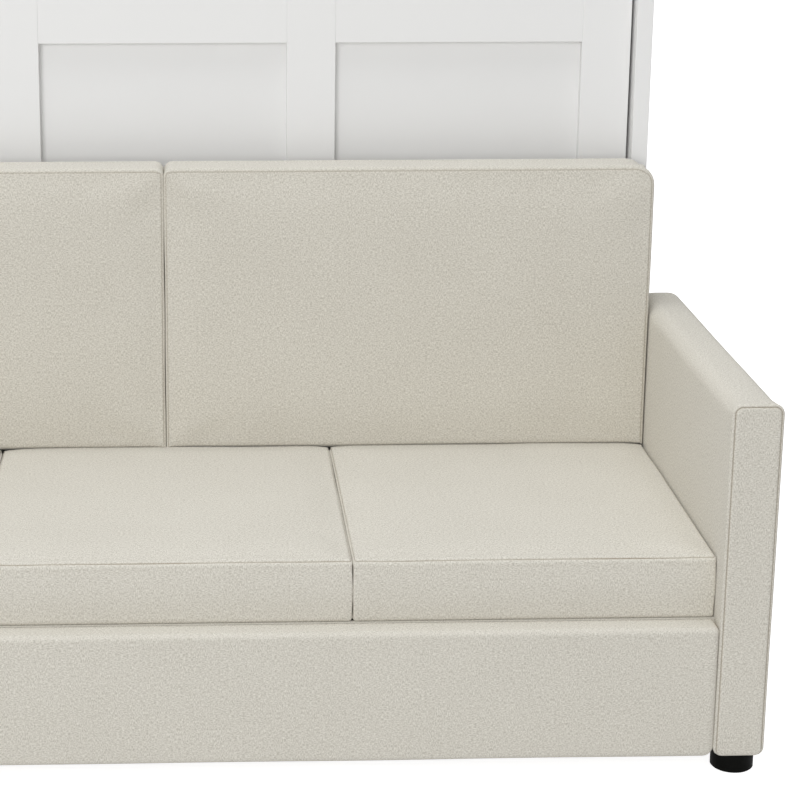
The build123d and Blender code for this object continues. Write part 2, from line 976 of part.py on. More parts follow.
ear_inner = leg_tube_radius + ear_gap
ear_outer = ear_inner + ear_thickness
with BuildPart() as leg_brackets:
    for side, side_name in sides:
        x = side * leg_x
        block(
            (x - ear_outer, x + ear_outer),
            (face_y - ear_thickness, face_y),
            (leg_z - leg_plate_height / 2, leg_z + leg_plate_height / 2),
        )
        for ear in (-1, 1):
            block(
                (x + ear * ear_inner, x + ear * ear_outer),
                (leg_y - ear_nose, face_y),
                (leg_z - ear_height / 2, leg_z + ear_height / 2),
            )
            rod(
                (x + ear * ear_inner, leg_y, leg_z),
                (ear, 0, 0),
                leg_pin_radius + hole_clearance,
                ear_thickness,
                mode=Mode.SUBTRACT,
            )
keep(leg_brackets, "leg_brackets")

with BuildPart() as leg_pins:
    for side, side_name in sides:
        x = side * leg_x - ear_outer
        rod((x, leg_y, leg_z), (1, 0, 0), leg_pin_radius, 2 * ear_outer)
        rod((x, leg_y, leg_z), (-1, 0, 0), leg_pin_radius + leg_pin_head, leg_pin_head)
        rod((x + 2 * ear_outer, leg_y, leg_z), (1, 0, 0), leg_pin_radius + leg_pin_head, leg_pin_head)
keep(leg_pins, "leg_pins")

# How far the strut swings and slides while the bed folds down by a quarter turn
open_run = (
    0,
    pivot_y + strut_drop - strut_base_y,
    pivot_height + strut_setback - strut_base_z,
)
open_length = math.hypot(*open_run)
swing = math.atan2(open_run[2], open_run[1]) - math.atan2(strut_run[2], strut_run[1])
print("strut swing per turn of the bed", swing / (math.pi / 2))
print("strut stroke", open_length - strut_length)
print("strut stroke per radian", (open_length - strut_length) / (math.pi / 2))
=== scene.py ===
import json
import math

import bpy
import numpy as np
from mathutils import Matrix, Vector
from mathutils.kdtree import KDTree


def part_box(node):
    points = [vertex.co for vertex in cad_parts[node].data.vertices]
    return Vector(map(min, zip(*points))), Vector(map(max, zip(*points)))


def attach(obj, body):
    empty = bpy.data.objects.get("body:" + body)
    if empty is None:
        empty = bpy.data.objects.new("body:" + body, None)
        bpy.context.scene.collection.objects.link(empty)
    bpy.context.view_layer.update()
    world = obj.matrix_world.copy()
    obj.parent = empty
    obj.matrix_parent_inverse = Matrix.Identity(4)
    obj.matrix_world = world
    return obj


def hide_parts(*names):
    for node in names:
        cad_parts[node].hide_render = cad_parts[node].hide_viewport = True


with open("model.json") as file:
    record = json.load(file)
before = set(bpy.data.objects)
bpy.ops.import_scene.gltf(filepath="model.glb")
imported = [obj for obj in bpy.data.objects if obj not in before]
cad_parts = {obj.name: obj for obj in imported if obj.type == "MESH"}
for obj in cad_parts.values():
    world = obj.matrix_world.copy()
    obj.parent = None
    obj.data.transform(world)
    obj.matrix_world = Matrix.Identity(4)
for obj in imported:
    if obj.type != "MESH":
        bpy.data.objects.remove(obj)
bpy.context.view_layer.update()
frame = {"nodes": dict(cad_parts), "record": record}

print("frame loaded with", len(frame["nodes"]), "nodes")

# Camera, lamps and floor

cameraView = {
    "place": (0.040, -3.710, 1.539),
    "turnRight": 1.83,  # degrees
    "lookDown": 14.92,
    "lens": 99,
    "shift": (0.18, -0.078),
    "sensor": 36,
    "farthest": 100,
}
studio = {
    "worldLight": 0.41,
    "keyPlace": (-2.8, -8.6, 3.0),
    "keySize": 4.0,
    "keyPower": 296,
    "keyTarget": (0, 0, 0.8),
    "topPlace": (-0.5, -0.9, 9.0),
    "topSize": 5.0,
    "topPower": 374,
    "topTarget": (0, 0, 0),
    "topColour": (0.965, 0.98, 1.0),
    "floorSize": 30,
    "floorColour": (0.72, 0.72, 0.72),
    "floorGlow": 0.86,
}

scene = bpy.context.scene
scene.view_settings.view_transform = "Standard"


def joinScene(name, data):
    thing = bpy.data.objects.new(name, data)
    scene.collection.objects.link(thing)
    return thing


def addSoftbox(label):
    lamp = bpy.data.lights.new(label + "Light", "AREA")
    lamp.shape = "SQUARE"
    lamp.size = studio[label + "Size"]
    lamp.energy = studio[label + "Power"]
    box = joinScene(label + "Light", lamp)
    box.location = studio[label + "Place"]
    aim = Vector(studio[label + "Target"]) - box.location
    box.rotation_euler = aim.to_track_quat("-Z", "Y").to_euler()
    return lamp


camera = joinScene("camera", bpy.data.cameras.new("camera"))
camera.location = cameraView["place"]
camera.rotation_euler = (
    math.radians(90 - cameraView["lookDown"]), 0, math.radians(-cameraView["turnRight"]))
camera.data.lens = cameraView["lens"]
camera.data.sensor_width = cameraView["sensor"]
camera.data.shift_x, camera.data.shift_y = cameraView["shift"]
camera.data.clip_end = cameraView["farthest"]
scene.camera = camera

addSoftbox("key")
addSoftbox("top").color = studio["topColour"]


def newMesh(name, points, edges=(), faces=(), material=None):
    mesh = bpy.data.meshes.new(name)
    mesh.from_pydata(points, edges, faces)
    if material:
        mesh.materials.append(material)
    return mesh


def applyModifiers(thing):
    # keeps what the modifiers make as a plain mesh
    graph = bpy.context.evaluated_depsgraph_get()
    mesh = bpy.data.meshes.new_from_object(thing.evaluated_get(graph))
    thing.modifiers.clear()
    thing.data = mesh
    return mesh


def setInputs(node, inputs):
    # an input takes a value, or the output that feeds it
    for key, value in inputs.items():
        if isinstance(value, bpy.types.NodeSocket):
            node.id_data.links.new(value, node.inputs[key])
        else:
            node.inputs[key].default_value = value


def addNode(tree, kind, inputs=None, **settings):
    node = tree.nodes.new(kind)
    for key, value in settings.items():
        setattr(node, key, value)
    setInputs(node, inputs or {})
    return node


def mathOf(tree, operation, *values):
    return addNode(tree, "ShaderNodeMath", dict(enumerate(values)), operation=operation).outputs[0]


def rangeOf(tree, value, low, high, fromLow=0.0, fromHigh=1.0):
    node = addNode(tree, "ShaderNodeMapRange", {
        "Value": value, "From Min": fromLow, "From Max": fromHigh, "To Min": low, "To Max": high})
    return node.outputs[0]


def newFinish(name, roughness=0.5, metallic=0.0, specular=0.5):
    material = bpy.data.materials.new(name)
    material.use_nodes = True
    tree = material.node_tree
    shader = tree.nodes["Principled BSDF"]
    setInputs(shader, {
        "Roughness": roughness, "Metallic": metallic, "Specular IOR Level": specular})
    return material, tree, shader


def cameraRays(tree):
    # rays for which the background shows as plain white
    path = addNode(tree, "ShaderNodeLightPath").outputs
    first = mathOf(tree, "MAXIMUM", path["Is Camera Ray"], path["Is Glossy Ray"])
    return mathOf(tree, "MAXIMUM", first, path["Is Transmission Ray"])


def makeWorld():
    world = bpy.data.worlds.new("studioWorld")
    world.use_nodes = True
    tree = world.node_tree
    level = rangeOf(tree, cameraRays(tree), studio["worldLight"], 1.0)
    setInputs(tree.nodes["Background"], {"Strength": level, "Color": (1, 1, 1, 1)})
    scene.world = world


def makeFloor():
    half = studio["floorSize"] / 2
    material, tree, shader = newFinish("floorWhite", roughness=0.9, specular=0.0)
    setInputs(shader, {
        "Base Color": (*studio["floorColour"], 1),
        "Emission Color": (1, 1, 1, 1),
        "Emission Strength": mathOf(tree, "MULTIPLY", cameraRays(tree), studio["floorGlow"]),
    })
    corners = [(-half, -half, 0), (half, -half, 0), (half, half, 0), (-half, half, 0)]
    floor = joinScene(
        "studioFloor", newMesh("studioFloor", corners, faces=[(0, 1, 2, 3)], material=material))


makeWorld()
makeFloor()
print("camera, lamps and floor are in place")

# Finishes


def patternSpace(tree, scale, source="Object"):
    place = addNode(tree, "ShaderNodeTexCoord").outputs[source]
    return addNode(tree, "ShaderNodeMapping", {"Scale": scale, "Vector": place}).outputs["Vector"]


def noiseIn(tree, scale, detail=2.0, roughness=0.5, source="Object"):
    noise = addNode(tree, "ShaderNodeTexNoise", {
        "Scale": 1.0, "Detail": detail, "Roughness": roughness,
        "Vector": patternSpace(tree, scale, source)})
    return noise.outputs["Fac"]


def waveIn(tree, scale, distortion, direction, source="Object", detailScale=1.0):
    wave = addNode(tree, "ShaderNodeTexWave", {
        "Scale": scale, "Distortion": distortion, "Detail Scale": detailScale,
        "Vector": patternSpace(tree, (1, 1, 1), source)}, bands_direction=direction)
    return wave.outputs["Fac"]


def rampOf(tree, value, *stops):
    ramp = addNode(tree, "ShaderNodeValToRGB", {"Fac": value})
    points = ramp.color_ramp.elements
    while len(points) < len(stops):
        points.new(0.5)
    for point, (place, colour) in zip(points, stops):
        point.position = place
        point.color = (*colour, 1)
    return ramp.outputs["Color"]


def bumpOf(tree, height, distance, strength=1.0):
    bump = addNode(tree, "ShaderNodeBump", {
        "Strength": strength, "Distance": distance, "Height": height})
    return bump.outputs["Normal"]


def paintSeamShade(tree, colour, shadeColour):
    # multiplies a colour by a darker colour along the seams: painted shade in the seams' creases
    seam = addNode(tree, "ShaderNodeAttribute", attribute_name="seam").outputs["Fac"]
    shaded = addNode(
        tree, "ShaderNodeMix", {"Factor": seam, "A": colour, "B": (*shadeColour, 1)},
        data_type="RGBA", blend_type="MULTIPLY")
    return shaded.outputs["Result"]


weave = {
    "yarn": 0.0014,  # metres from yarn to yarn
    "slub": 0.0041,  # length of a thick place in a yarn
    "knot": 0.0018,
    "knotShare": -0.15,
    "patch": 0.03,  # size of the places where warp or weft lies on top
    "cloudScale": (7, 7, 7),
    "cloudShare": 0.05,
    "dark": (0.51, 0.48, 0.415),
    "middle": (0.66, 0.631, 0.56),
    "light": (0.79, 0.766, 0.695),
    # colour of the painted shade in the seams' creases
    "paintedSeamShade": (0.42, 0.36, 0.28),
    "sheen": 0.12,
    "relief": 0.0004,
}


def makeSofaFabric():
    material, tree, shader = newFinish("sofaFabric", roughness=0.92, specular=0.25)
    yarn, slub = 1 / weave["yarn"], 1 / weave["slub"]

    def clothNoise(scale, detail=1.0):
        return noiseIn(tree, scale, detail, source="UV")

    warp, weft = clothNoise((yarn, slub, 1)), clothNoise((slub, yarn, 1))
    share = rangeOf(tree, clothNoise([1 / weave["patch"]] * 3), 0.2, 0.8, 0.4, 0.6)
    knots = addNode(tree, "ShaderNodeTexVoronoi", {
        "Scale": 1 / weave["knot"], "Vector": patternSpace(tree, (1, 1, 1), "UV")})
    over = mathOf(tree, "SUBTRACT", warp, weft)
    crossing = mathOf(tree, "MULTIPLY_ADD", over, share, weft)
    grain = mathOf(
        tree, "MULTIPLY_ADD", knots.outputs["Distance"], weave["knotShare"], crossing)
    clouds = clothNoise(weave["cloudScale"], 3.0)
    tone = mathOf(tree, "MULTIPLY_ADD", clouds, weave["cloudShare"], grain)
    colour = rampOf(
        tree, tone, (0.28, weave["dark"]), (0.455, weave["middle"]), (0.63, weave["light"]))
    # the base colour carries painted shade along the seams
    setInputs(shader, {
        "Base Color": paintSeamShade(tree, colour, weave["paintedSeamShade"]),
        "Sheen Weight": weave["sheen"],
        "Sheen Roughness": 0.6,
        "Normal": bumpOf(tree, grain, weave["relief"], 0.75),
    })
    return material


def makePlain(name, colour, vary, scale, roughness, relief=0.0, specular=0.5):
    # one colour with a soft change of tone and of gloss across the surface
    material, tree, shader = newFinish(name, roughness, specular=specular)
    grain = noiseIn(tree, [scale] * 3, detail=4.0, roughness=0.6)
    low = [channel * (1 - vary) for channel in colour]
    high = [min(channel * (1 + vary), 1) for channel in colour]
    setInputs(shader, {
        "Base Color": rampOf(tree, grain, (0.3, low), (0.7, high)),
        "Roughness": rangeOf(tree, grain, roughness * 0.88, min(roughness * 1.12, 1), 0.3, 0.7),
    })
    if relief:
        setInputs(shader, {"Normal": bumpOf(tree, grain, relief)})
    return material


lacquer = {
    "low": (0.842, 0.840, 0.831),
    "high": (0.854, 0.852, 0.844),
    "ripple": 420,  # waves to the metre
    "relief": 0.00004,
}


def makeLacquer():
    # sprayed satin lacquer: an even white with a fine ripple
    material, tree, shader = newFinish("cabinetLacquer", roughness=0.42, specular=0.4)
    clouds = noiseIn(tree, (2.2, 2.2, 1.1), detail=3.0)
    ripple = noiseIn(tree, [lacquer["ripple"]] * 3, detail=1.0)
    setInputs(shader, {
        "Base Color": rampOf(tree, clouds, (0.3, lacquer["low"]), (0.7, lacquer["high"])),
        "Roughness": rangeOf(tree, ripple, 0.38, 0.47),
        "Normal": bumpOf(tree, ripple, lacquer["relief"]),
    })
    return material


def makeWood(name, light, dark, roughness=0.55):
    # grain that runs along X, with fine pores in it
    material, tree, shader = newFinish(name, roughness)
    grain = noiseIn(tree, (5, 90, 90), detail=5.0, roughness=0.65)
    pores = noiseIn(tree, (30, 630, 630))
    tone = mathOf(tree, "MULTIPLY_ADD", pores, 0.25, grain)
    setInputs(shader, {
        "Base Color": rampOf(tree, tone, (0.42, dark), (0.78, light)),
        "Normal": bumpOf(tree, tone, 0.0002),
    })
    return material


knit = {
    "rows": 60.0,  # ribs and loops to the metre
    "loops": 500,
    "dark": (0.69, 0.685, 0.67),
    "light": (0.80, 0.797, 0.785),
    # colour of the painted shade along the seams and quilt lines
    "paintedSeamShade": (0.72, 0.71, 0.69),
    "relief": 0.0005,
}


def makeMattressKnit():
    # stretch knit in fine ribs, with painted shade along the seams and quilt lines
    material, tree, shader = newFinish("mattressKnit", roughness=0.85, specular=0.3)
    ribs = mathOf(tree, "MULTIPLY", waveIn(tree, knit["rows"], 1.2, "DIAGONAL", "UV", 2.0), 0.5)
    grain = noiseIn(tree, [knit["loops"]] * 3, source="UV")
    tone = mathOf(tree, "MULTIPLY_ADD", grain, 0.5, ribs)
    colour = rampOf(tree, tone, (0.2, knit["dark"]), (0.8, knit["light"]))
    setInputs(shader, {
        "Base Color": paintSeamShade(tree, colour, knit["paintedSeamShade"]),
        "Normal": bumpOf(tree, tone, knit["relief"]),
    })
    return material


def makeBrushed(name, colour, roughness, along=(3, 260, 260)):
    # metal with fine lines along its length
    material, tree, shader = newFinish(name, roughness, metallic=1.0)
    lines = noiseIn(tree, along, detail=3.0, roughness=0.7)
    low = [channel * 0.9 for channel in colour]
    setInputs(shader, {
        "Base Color": rampOf(tree, lines, (0.3, low), (0.7, colour)),
        "Roughness": rangeOf(tree, lines, roughness * 0.75, roughness * 1.2),
        "Normal": bumpOf(tree, lines, 0.00003),
    })
    return material


def makeWebbing():
    material, tree, shader = newFinish("strapWebbing", roughness=0.8, specular=0.3)
    ribs, yarns = waveIn(tree, 70.0, 0.4, "X"), waveIn(tree, 110.0, 0.3, "Z")
    tone = mathOf(tree, "MULTIPLY", ribs, yarns)
    colour = rampOf(tree, tone, (0.0, (0.10, 0.10, 0.105)), (1.0, (0.17, 0.17, 0.18)))
    setInputs(shader, {"Base Color": colour, "Normal": bumpOf(tree, tone, 0.0004)})
    return material


sofaFabric = makeSofaFabric()
seamThread = makePlain("seamThread", (0.42, 0.375, 0.31), 0.15, 900, 0.8)
birchSlat = makeWood("birchSlat", (0.76, 0.62, 0.43), (0.63, 0.48, 0.31), roughness=0.4)
mattressTape = makePlain("mattressTape", (0.62, 0.62, 0.61), 0.06, 800, 0.7, 0.0002)
liningCloth = makePlain("liningCloth", (0.02, 0.02, 0.021), 0.2, 700, 0.9, 0.0001, 0.2)
finishOf = {
    "cabinet_white": makeLacquer(),
    "sofa_fabric": sofaFabric,
    "frame_wood": makeWood("framePlywood", (0.66, 0.50, 0.33), (0.52, 0.37, 0.23)),
    "mattress_cloth": makeMattressKnit(),
    "webbing": makeWebbing(),
    "grey_steel": makePlain("greySteel", (0.30, 0.31, 0.32), 0.05, 380, 0.45, 0.00006),
    "bright_steel": makeBrushed("brightSteel", (0.66, 0.66, 0.66), 0.3),
    "strut_black": makePlain("strutBlack", (0.022, 0.022, 0.023), 0.1, 300, 0.35, 0.00003),
    "strut_chrome": makeBrushed("strutChrome", (0.8, 0.8, 0.81), 0.1, (260, 3, 3)),
    "black_plastic": makePlain(
        "blackPlastic", (0.0035, 0.0035, 0.003), 0.2, 600, 0.55, 0.00005, 0.04),
    "black_rubber": makePlain("blackRubber", (0.012, 0.012, 0.012), 0.2, 700, 0.75, 0.0001, 0.15),
}
for subpart in frame["record"]["subparts"]:
    for place in frame["nodes"][subpart["node"]].material_slots:
        place.material = finishOf[subpart["material_slot"]]
print("finishes are made:", len(finishOf))

# Padded pieces: every pad is a box of rows that is rounded, crowned, seamed and then softened

endRows = (0, 0.0007, 0.0014, 0.0022, 0.0031, 0.0041, 0.0053, 0.0067, 0.0083, 0.0102,
           0.0126, 0.0158, 0.0205, 0.027)
endGap = 0.002  # left free between the close rows of both ends
openSide = -0.02  # place of a seam on a side that has none
tiny = 1e-9

plainPad = {
    "facing": "front",
    "cornerGrow": 0.0,
    "crown": 0.0,
    "crownPower": 3.0,
    "crownFar": 1.0,
    "belly": (0.0,) * 4,
    "flare": (0.0, 0.0),
    "pull": 0.0,
    "seams": (),
    # strength of the painted shade along the seams
    "paintedSeamShade": 1.0,
    "cloth": None,
    "quilt": None,
}
padShape = {
    "growDepth": 0.045,
    "sideBlend": 0.002,
    "flareStart": 0.6,  # as shares of the thickness
    "flareLength": 0.25,
    "swellPlace": 0.007,  # beside the seam
    "swellWidth": 0.0042,
    # width of the painted shade line along a seam
    "seamShadeWidth": 0.0009,
    "stillDepth": 0.02,  # above the side that rests on something
}


def rowsAlong(length, step):
    ends = [row for row in endRows if row < length / 2 - endGap]
    start = ends[-1]
    count = max(int(round((length - 2 * start) / step)), 1)
    middle = [start + (length - 2 * start) * i / count for i in range(1, count)]
    rows = ends + middle + [length - row for row in ends]
    return np.array(sorted(set(round(row, 6) for row in rows)))


def latticeBox(rows):
    # the outer skin of a box of rows: its points, its squares and which side each square is on
    grid = np.stack(np.meshgrid(*rows, indexing="ij"), axis=-1).reshape(-1, 3)
    number = np.arange(len(grid)).reshape([len(row) for row in rows])
    squares, sides = [], []
    for axis in range(3):
        for end in (0, -1):
            sheet = np.take(number, end, axis=axis)
            corners = [sheet[:-1, :-1], sheet[1:, :-1], sheet[1:, 1:], sheet[:-1, 1:]]
            if (end == -1) == (axis == 1):
                corners.reverse()  # so that the squares face outwards
            squares.append(np.stack([corner.ravel() for corner in corners], axis=1))
            sides += [axis] * len(squares[-1])
    used, squares = np.unique(np.concatenate(squares), return_inverse=True)
    return grid[used], squares.reshape(-1, 4), np.array(sides)


def bell(distance, width):
    return np.exp(-(distance / width) ** 2)


def roundPad(points, size, pad):
    # takes points of the box to the pad's own shape, and gives how near each is to a seam, scaled
    # to the strength of the painted seam shade
    u, v, w = points.T
    wide, high, thick = size
    # corners at low u and v, high u and low v, low u and high v, high u and v
    radius = np.array(pad["corners"])[2 * (v >= high / 2) + (u >= wide / 2)]
    # upper corners that grow rounder behind the front seam
    behind = np.clip((thick - w) / padShape["growDepth"], 0, 1)
    radius = radius * (1 + pad["cornerGrow"] * behind * (v > high / 2))
    spot, span = np.stack([u, v]), np.array([[wide], [high]])
    centre = np.clip(spot, radius, span - radius)
    off = spot - centre
    reach = np.hypot(*off)
    safe = np.maximum(reach, tiny)
    outward = off / safe
    shrink = np.where(reach > tiny, abs(off).max(axis=0) / safe, 1.0)
    depth = np.minimum.reduce([u, wide - u, v, high - v])
    flat, rise = centre + off * shrink, w.copy()
    normalIn, normalUp = np.zeros_like(u), np.zeros_like(u)
    # the radius of an edge changes from side to side round the pad
    nearSide = np.stack([
        1 / (distance + padShape["sideBlend"]) ** 4 for distance in (u, wide - u, v, high - v)])
    nearSide /= nearSide.sum(axis=0)

    def bySide(values):
        return nearSide.T @ np.array(values)

    for edges, below, upward in ((pad["edges"], thick - w, 1), (pad["backEdges"], w, -1)):
        edge = bySide(edges)
        a, b = np.clip(edge - depth, 0, None), np.clip(edge - below, 0, None)
        length = np.hypot(a, b)
        safe = np.maximum(length, tiny)
        scale = np.maximum(a, b) / safe
        both = (length > tiny) & (a > 0) & (b > 0)
        flat -= outward * np.where(both, a - a * scale, 0)
        rise -= upward * np.where(both, b - b * scale, 0)
        normalIn = np.where(both, a / safe, normalIn)
        faceUp = np.where(below < tiny, upward, normalUp)
        normalUp = np.where(both, upward * b / safe, faceUp)
    normalIn = np.where(normalUp == 0, 1.0, normalIn)
    # crowned face, boxing that swells between its seams
    across, along = 2 * spot / span - 1
    sunk = np.where(along > 0, pad["crownFar"], 1.0) * abs(along) ** pad["crownPower"]
    rise += pad["crown"] * (1 - abs(across) ** pad["crownAcross"]) * (1 - sunk) * w / thick
    belly = np.sin(np.pi * np.clip(w / thick, 0, 1)) * bySide(pad["belly"]) * (depth < tiny)
    flat += outward * belly
    # a border that is wider at the front than behind
    left, right = pad["flare"]
    front = np.clip((w / thick - padShape["flareStart"]) / padShape["flareLength"], 0, 1)
    front = front * front * (3 - 2 * front)
    flat[0] += front * (right * flat[0] / wide - left * (1 - flat[0] / wide))
    # sides that draw in between the corners
    drawn = 2 * pad["pull"] / span * (1 - np.stack([along, across]) ** 2)
    flat = span / 2 + (flat - span / 2) * (1 - drawn)
    nearness = np.zeros_like(u)
    for places, upward in pad["seams"]:
        below = thick - w if upward > 0 else w
        distance = np.where(below < thick / 2, depth - below - bySide(places), 1.0)
        swollen = bell(abs(distance) - padShape["swellPlace"], padShape["swellWidth"])
        sink = pad["seamDepth"] * bell(distance, pad["seamWidth"]) - pad["seamSwell"] * swollen
        flat -= outward * normalIn * sink
        rise -= normalUp * sink
        # painted shade in a thin line along the seam
        nearness = np.maximum(nearness, bell(distance, padShape["seamShadeWidth"]))
    return np.stack([*flat, rise], axis=1), nearness * pad["paintedSeamShade"]


def softWaves(points, seed, height, length, count=7, spread=(0.6, 1.6)):
    # a slow unevenness, the same on every run
    chance = np.random.default_rng(seed)
    total = np.zeros(len(points))
    for _ in range(count):
        direction = chance.normal(size=3)
        direction /= np.linalg.norm(direction)
        wave = 2 * np.pi / (length * chance.uniform(*spread))
        total += np.sin(points @ direction * wave + chance.uniform(0, 2 * np.pi))
    return total * height / (count / 2)


def axisOrder(facing):
    # the axes that a pad's u, v and w lie along
    return [0, 1, 2] if facing == "up" else [0, 2, 1]


def placePad(points, low, high, facing):
    u, v, w = points.T
    if facing == "up":
        return np.stack([low[0] + u, low[1] + v, low[2] + w], axis=1)
    y = high[1] - w if facing == "front" else low[1] + w
    return np.stack([low[0] + u, y, low[2] + v], axis=1)


def heldStill(points, low, high, facing):
    # how high each point is above the side that rests on something and keeps its place
    if facing == "up":
        return points[:, 2] - low[2]
    return high[1] - points[:, 1] if facing == "front" else points[:, 1] - low[1]


def readPoints(vertices, label="co"):
    values = np.empty(len(vertices) * 3)
    vertices.foreach_get(label, values)
    return values.reshape(-1, 3)


def nearTree(points):
    tree = KDTree(len(points))
    for i, point in enumerate(points):
        tree.insert(point, i)
    tree.balance()
    return tree


clothCare = {
    "quality": 5,
    "mass": 0.3,
    "tension_stiffness": 12,
    "compression_stiffness": 12,
    "shear_stiffness": 6,
    "bending_stiffness": 0.4,
    "use_pressure": True,
    "uniform_pressure_force": 4.0,
    "vertex_group_mass": "held",
}
clothRun = {
    "voxel": 0.012,
    "held": 0.9,  # points lower than this share of a voxel keep their place
    "frames": 20,
    "cap": 0.004,  # no point moves further
    "seamShare": 0.25,
    "neighbours": 6,
    "blend": 0.002,
}


def pushOut(source, low, high, facing):
    # blows the pad up a little as cloth, and gives how far each of its points moves
    coarse = joinScene(source.name + "Cloth", source.data.copy())
    remesh = coarse.modifiers.new("coarse", "REMESH")
    remesh.mode = "VOXEL"
    remesh.voxel_size = clothRun["voxel"]
    start = readPoints(applyModifiers(coarse).vertices)
    still = heldStill(start, low, high, facing) < clothRun["voxel"] * clothRun["held"]
    held = coarse.vertex_groups.new(name=clothCare["vertex_group_mass"])
    held.add(np.nonzero(still)[0].tolist(), 1.0, "REPLACE")
    cloth = coarse.modifiers.new("cloth", "CLOTH")
    for key, value in clothCare.items():
        setattr(cloth.settings, key, value)
    cloth.settings.effector_weights.gravity = 0
    cloth.collision_settings.use_collision = False
    cloth.point_cache.frame_start, cloth.point_cache.frame_end = 1, clothRun["frames"]
    for number in range(1, clothRun["frames"] + 1):
        scene.frame_set(number)
    blown = coarse.evaluated_get(bpy.context.evaluated_depsgraph_get())
    move = readPoints(blown.to_mesh().vertices) - start
    blown.to_mesh_clear()
    length = np.linalg.norm(move, axis=1)
    # long moves are eased towards the cap, so that no flat plateau forms
    eased = clothRun["cap"] * np.tanh(length / clothRun["cap"])
    move *= (eased / np.maximum(length, tiny))[:, None]
    bpy.data.objects.remove(coarse)
    scene.frame_set(1)
    return nearTree(start), move


def followCloth(points, tree, move):
    shift = np.zeros_like(points)
    for i, point in enumerate(points):
        found = tree.find_n(point, clothRun["neighbours"])
        weights = np.array([1 / (item[2] + clothRun["blend"]) ** 2 for item in found])
        moves = move[[item[1] for item in found]]
        shift[i] = (moves * weights[:, None]).sum(axis=0) / weights.sum()
    return shift


def skinMesh(name, points, squares, uvs, nearness, material, flip):
    if flip:
        squares, uvs = squares[:, ::-1], uvs[:, ::-1]
    mesh = newMesh(name, points.tolist(), faces=squares.tolist(), material=material)
    layer = mesh.uv_layers.new(name="weave")
    layer.data.foreach_set("uv", uvs.astype(np.float32).ravel())
    # how much painted seam shade each point gets, read by the finish
    seam = mesh.attributes.new("seam", "FLOAT", "POINT")
    seam.data.foreach_set("value", nearness.astype(np.float32))
    mesh.polygons.foreach_set("use_smooth", [True] * len(mesh.polygons))
    mesh.update()
    return mesh


def makePad(name, low, high, pad, seed, material=sofaFabric):
    # returns the pad and a function that finds a seam's line on it
    pad = {**plainPad, **pad}
    pad.setdefault("crownAcross", pad["crownPower"])
    facing = pad["facing"]
    size = [high[axis] - low[axis] for axis in axisOrder(facing)]
    rows = [rowsAlong(length, step) for length, step in zip(size, pad["steps"])]
    lattice, squares, sides = latticeBox(rows)
    shaped, nearness = roundPad(lattice, size, pad)
    world = placePad(shaped, low, high, facing)
    uvs = np.zeros((len(squares), 4, 2))
    for axis, flat in enumerate(((2, 1), (0, 2), (0, 1))):
        chosen = sides == axis
        uvs[chosen] = lattice[squares[chosen]][..., flat]
    uvs += np.random.default_rng(seed).uniform(0, 3, size=2)
    thing = joinScene(
        name, skinMesh(name, world, squares, uvs, nearness, material, facing == "wall"))
    normals = readPoints(thing.data.vertices, "normal")
    loose = 1 - np.minimum(nearness, 1)
    rest = np.clip(heldStill(world, low, high, facing) / padShape["stillDepth"], 0, 1)
    waves = softWaves(world, seed, pad["uneven"], pad["unevenLength"])
    world += normals * (waves * loose * rest)[:, None]
    if pad["cloth"]:
        share = clothRun["seamShare"]
        swell = followCloth(world, *pushOut(thing, low, high, facing))
        swell = swell * (share + (1 - share) * loose[:, None]) * rest[:, None]
        world += swell * np.array(pad["cloth"])[axisOrder(facing)]
    if pad["quilt"]:
        world, nearness = quiltFace(world, normals, lattice, size, nearness, pad["quilt"])
        # painted shade along the quilt lines joins that of the seams
        thing.data.attributes["seam"].data.foreach_set("value", nearness.astype(np.float32))
    thing.data.vertices.foreach_set("co", world.ravel())
    thing.data.update()
    tree = nearTree(world)
    moved = world - placePad(shaped, low, high, facing)

    def seamLine(number, step=0.004):
        # the closed line of a seam, on the finished surface
        places, upward = pad["seams"][number]
        path, _ = roundPad(outlineLoop(size, places, upward, step), size, pad)
        result = []
        for spot in placePad(path, low, high, facing):
            found = tree.find_n(spot, 3)
            shift = sum((moved[item[1]] for item in found), np.zeros(3)) / len(found)
            result.append(spot + shift)
        return np.array(result)

    return thing, seamLine


def outlineLoop(size, places, upward, step):
    # a rectangle on the face, as far in from each side as the seam is there
    wide, high, thick = size
    left, right, near, far = (max(place, 0.0) for place in places)
    alongU, alongV = (
        [span * i / int(span / step) for i in range(int(span / step))]
        for span in (wide - left - right, high - near - far))
    runs = [
        [(left + u, near) for u in alongU], [(wide - right, near + v) for v in alongV],
        [(wide - right - u, high - far) for u in alongU], [(left, high - far - v) for v in alongV]]
    for number, place in enumerate((places[2], places[1], places[3], places[0])):
        if place < 0:
            # a side without a seam leaves the line open
            runs = runs[number + 1:] + runs[:number]
            break
    w = thick if upward > 0 else 0
    return np.array([(u, v, w) for run in runs for u, v in run])


def quiltFace(world, normals, lattice, size, nearness, quilt):
    # diamonds sewn into the sleeping face, with painted shade along their grooves
    u, v, w = lattice.T
    pitch, border, skin = quilt["pitch"], quilt["border"], quilt["skin"]
    face = np.clip((w - size[2] + skin) / skin, 0, 1)
    fromSide = np.minimum.reduce([u, size[0] - u, v, size[1] - v])
    inside = np.clip((fromSide - border) / border, 0, 1)
    first, second = (
        abs((place / pitch + 0.5) % 1 - 0.5) * pitch / math.sqrt(2) for place in (u + v, u - v))
    nearest = np.minimum(first, second)
    full = [np.clip(place / pitch * quilt["puffSlope"], 0, 1) for place in (first, second)]
    sewn = quilt["groove"] * bell(nearest, quilt["grooveWidth"])
    rise = (quilt["puff"] * (full[0] * full[1]) - sewn) * face * inside
    # painted shade along the sewn grooves
    line = bell(nearest, quilt["lineWidth"]) * face * inside * quilt["grooveShade"]
    return world + normals * rise[:, None], np.maximum(nearness, line)


